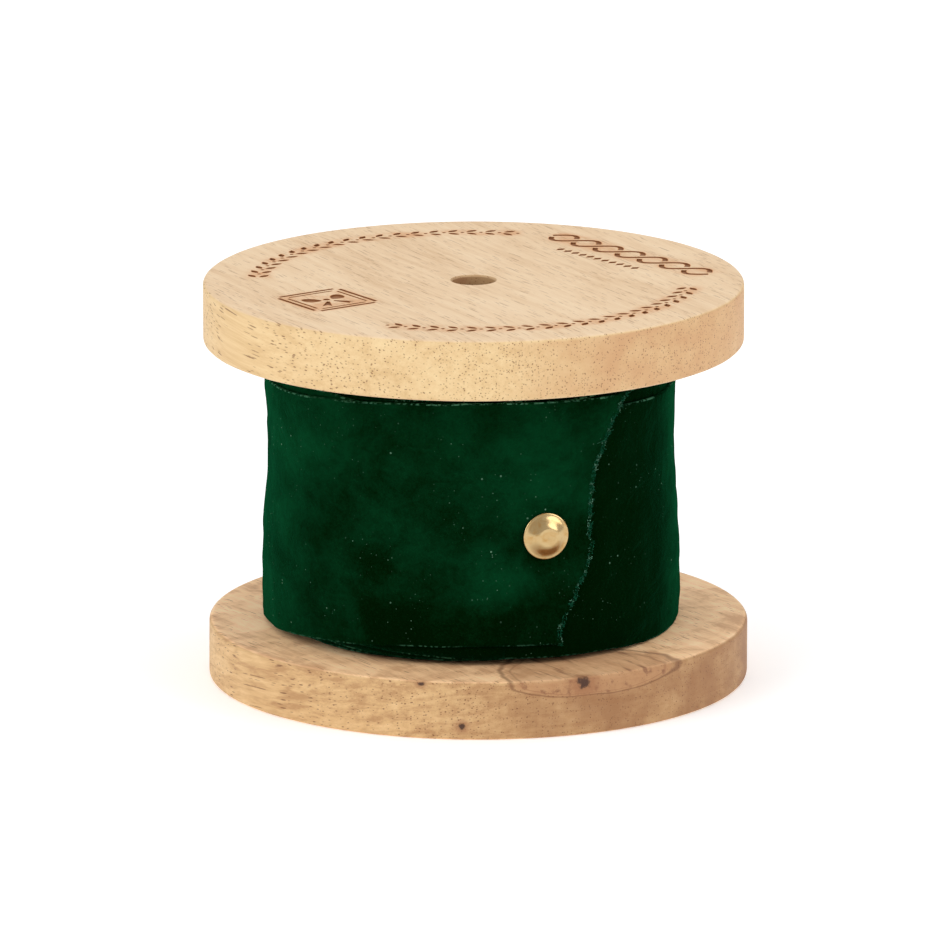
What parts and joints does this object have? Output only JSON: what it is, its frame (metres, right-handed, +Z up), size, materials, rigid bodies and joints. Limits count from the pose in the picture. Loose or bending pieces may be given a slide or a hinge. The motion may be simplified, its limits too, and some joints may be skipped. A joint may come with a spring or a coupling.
{
  "type": "ribbon spool",
  "caption": "Wooden spool with round flanges on a bored core, wound with wide velvet ribbon whose cut end is held by a removable brass drawing pin.",
  "frame": {"origin": "on the spindle axis at the underside of the bottom flange, which the spool stands on", "axes": "+Z up along the spindle axis; -Y towards the front, where the drawing pin and the ribbon's cut end are; +X to the right seen from the front"},
  "size_m": [0.12, 0.12, 0.0895],
  "materials": {
    "pale_wood": "bare sanded, laser-engraved ornament",
    "tan_wood": "bare sanded, knots and dark streaks",
    "core_wood": "bare turned",
    "beech": "fluted dowel, glued",
    "velvet": "crushed pile velvet",
    "tack_brass": "polished, pressed",
    "steel_wire": "bright drawn wire"
  },
  "bodies": {
    "spool": {"bottom_flange": "tan_wood", "core": "core_wood", "top_flange": "pale_wood", "ribbon": "velvet", "dowel_bottom_1": "beech", "dowel_bottom_2": "beech", "dowel_bottom_3": "beech", "dowel_top_1": "beech", "dowel_top_2": "beech", "dowel_top_3": "beech", "start_staple_upper": "steel_wire", "start_staple_lower": "steel_wire"},
    "tack": {"tack_cap": "tack_brass", "tack_pin": "steel_wire"}
  },
  "joints": [
    {"name": "tack_pull", "type": "slide", "parent": "spool", "child": "tack", "axis": [0.342, -0.9397, 0], "range_m": [0, 0.012]}
  ]
}
